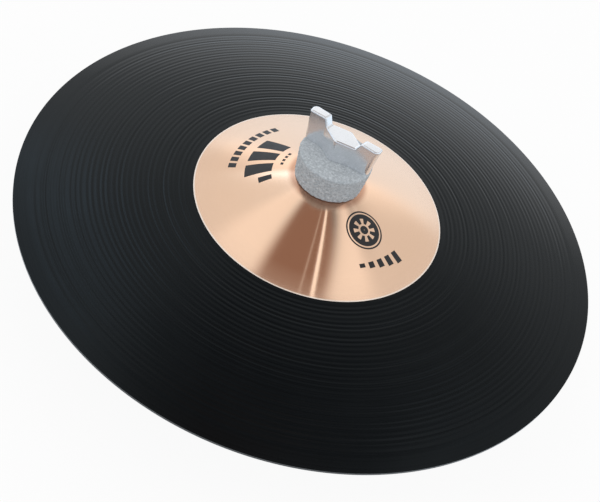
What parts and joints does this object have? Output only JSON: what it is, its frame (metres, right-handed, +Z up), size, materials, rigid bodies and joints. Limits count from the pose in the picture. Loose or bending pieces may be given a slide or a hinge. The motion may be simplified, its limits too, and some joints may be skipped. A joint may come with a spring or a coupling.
{
  "type": "ride cymbal",
  "caption": "Black bowed cymbal with a wide copper bell, clamped between felts on a threaded stand rod by a closed wing nut.",
  "frame": {"origin": "centre of the rod's lower end face, where a stand holds it", "axes": "+Z up along the rod and the cymbal's axis; -Y towards the picture's camera"},
  "size_m": [0.3048, 0.3048, 0.1061],
  "materials": {
    "coated_bronze": "black coating over fine turned grooves, bare copper-coloured bell",
    "chrome": "mirror",
    "plated_steel": "satin",
    "grey_felt": "pressed wool felt",
    "black_nylon": "satin",
    "white_nylon": "satin"
  },
  "bodies": {
    "arm": {"rod": "chrome", "seat_collar": "chrome", "cup_washer": "plated_steel"},
    "felt_stack": {"lower_felt": "grey_felt", "sleeve": "black_nylon", "upper_felt": "grey_felt"},
    "cymbal": {"cymbal": "coated_bronze"},
    "nut_carrier": {"slip_washer": "white_nylon"},
    "nut": {"wing_nut": "chrome"}
  },
  "joints": [
    {"name": "cymbal_spin", "type": "hinge", "parent": "arm", "child": "felt_stack", "pos_m": [0, 0, 0.07419], "axis": [0, 0, 1], "continuous": true},
    {"name": "cymbal_swing", "type": "hinge", "parent": "felt_stack", "child": "cymbal", "pos_m": [0, 0, 0.07419], "axis": [1, 0, 0], "range_deg": [-12, 12], "deforming": ["lower_felt", "upper_felt"]},
    {"name": "nut_travel", "type": "slide", "parent": "arm", "child": "nut_carrier", "axis": [0, 0, 1], "range_m": [0, 0.01]},
    {"name": "nut_turn", "type": "hinge", "parent": "nut_carrier", "child": "nut", "pos_m": [0, 0, 0.08862], "axis": [0, 0, 1], "range_deg": [0, 3610]}
  ],
  "couplings": [
    {"joint": "nut_turn", "follows": "nut_travel", "rad_per_m": 6283.2}
  ]
}
